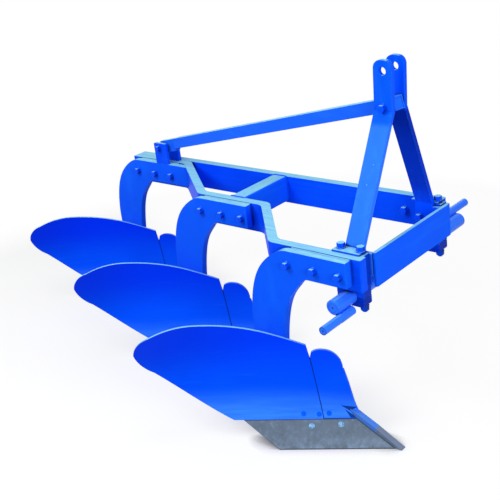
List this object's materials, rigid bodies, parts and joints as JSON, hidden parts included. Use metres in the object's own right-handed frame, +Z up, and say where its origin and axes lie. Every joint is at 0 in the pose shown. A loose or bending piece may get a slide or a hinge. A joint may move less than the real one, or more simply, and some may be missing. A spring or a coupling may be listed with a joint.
{
  "type": "moldboard plough",
  "caption": "Blue tractor-mounted moldboard plough with stepped beam frame, curved shanks, twisted moldboards, grey shares, A-shaped mast and turning cross shaft.",
  "frame": {"origin": "on the ground plane, at the middle of the flat sole of the front body's landside", "axes": "+X forward in the direction of travel, +Y to the left (the unploughed side), +Z up"},
  "size_m": [1.9982, 1.1838, 1.1768],
  "materials": {
    "frame_paint": "glossy blue enamel over rolled steel, thin dust on level tops",
    "mast_paint": "glossy blue enamel, slight brush marks",
    "moldboard_paint": "smooth glossy blue enamel on a pressed curved plate",
    "underside_paint": "thin blue enamel, duller than the outer faces",
    "shaft_paint": "glossy blue enamel on turned steel",
    "share_steel": "bare grey rolled steel with a dark scale film"
  },
  "bodies": {
    "plough_frame": {"stepped_beam": "frame_paint", "side_beam": "frame_paint", "front_plate": "frame_paint", "mid_cross_member": "frame_paint", "mast_leg_right": "mast_paint", "mast_leg_left": "mast_paint", "top_brace": "mast_paint", "brace_bracket_right": "mast_paint", "brace_bracket_left": "mast_paint", "saddle_right": "frame_paint", "saddle_left": "frame_paint", "bearing_cap_right": "frame_paint", "bearing_cap_left": "frame_paint", "foot_strap_right": "frame_paint", "foot_strap_left": "frame_paint", "shank_1": "frame_paint", "shank_pad_1": "frame_paint", "moldboard_1": "moldboard_paint", "shin_1": "moldboard_paint", "share_1": "share_steel", "bar_point_1": "share_steel", "landside_1": "underside_paint", "frog_1": "underside_paint", "moldboard_stay_1": "underside_paint", "shank_2": "frame_paint", "shank_pad_2": "frame_paint", "moldboard_2": "moldboard_paint", "shin_2": "moldboard_paint", "share_2": "share_steel", "bar_point_2": "share_steel", "landside_2": "underside_paint", "frog_2": "underside_paint", "moldboard_stay_2": "underside_paint", "shank_3": "frame_paint", "shank_pad_3": "frame_paint", "moldboard_3": "moldboard_paint", "shin_3": "moldboard_paint", "share_3": "share_steel", "bar_point_3": "share_steel", "landside_3": "underside_paint", "frog_3": "underside_paint", "moldboard_stay_3": "underside_paint"},
    "hitch_shaft": {"cross_shaft": "shaft_paint"}
  },
  "joints": [
    {"name": "cross_shaft_turn", "type": "hinge", "parent": "plough_frame", "child": "hitch_shaft", "pos_m": [0.14, 0.3, 0.49], "axis": [0, 1, 0], "range_deg": [-40, 40]}
  ]
}
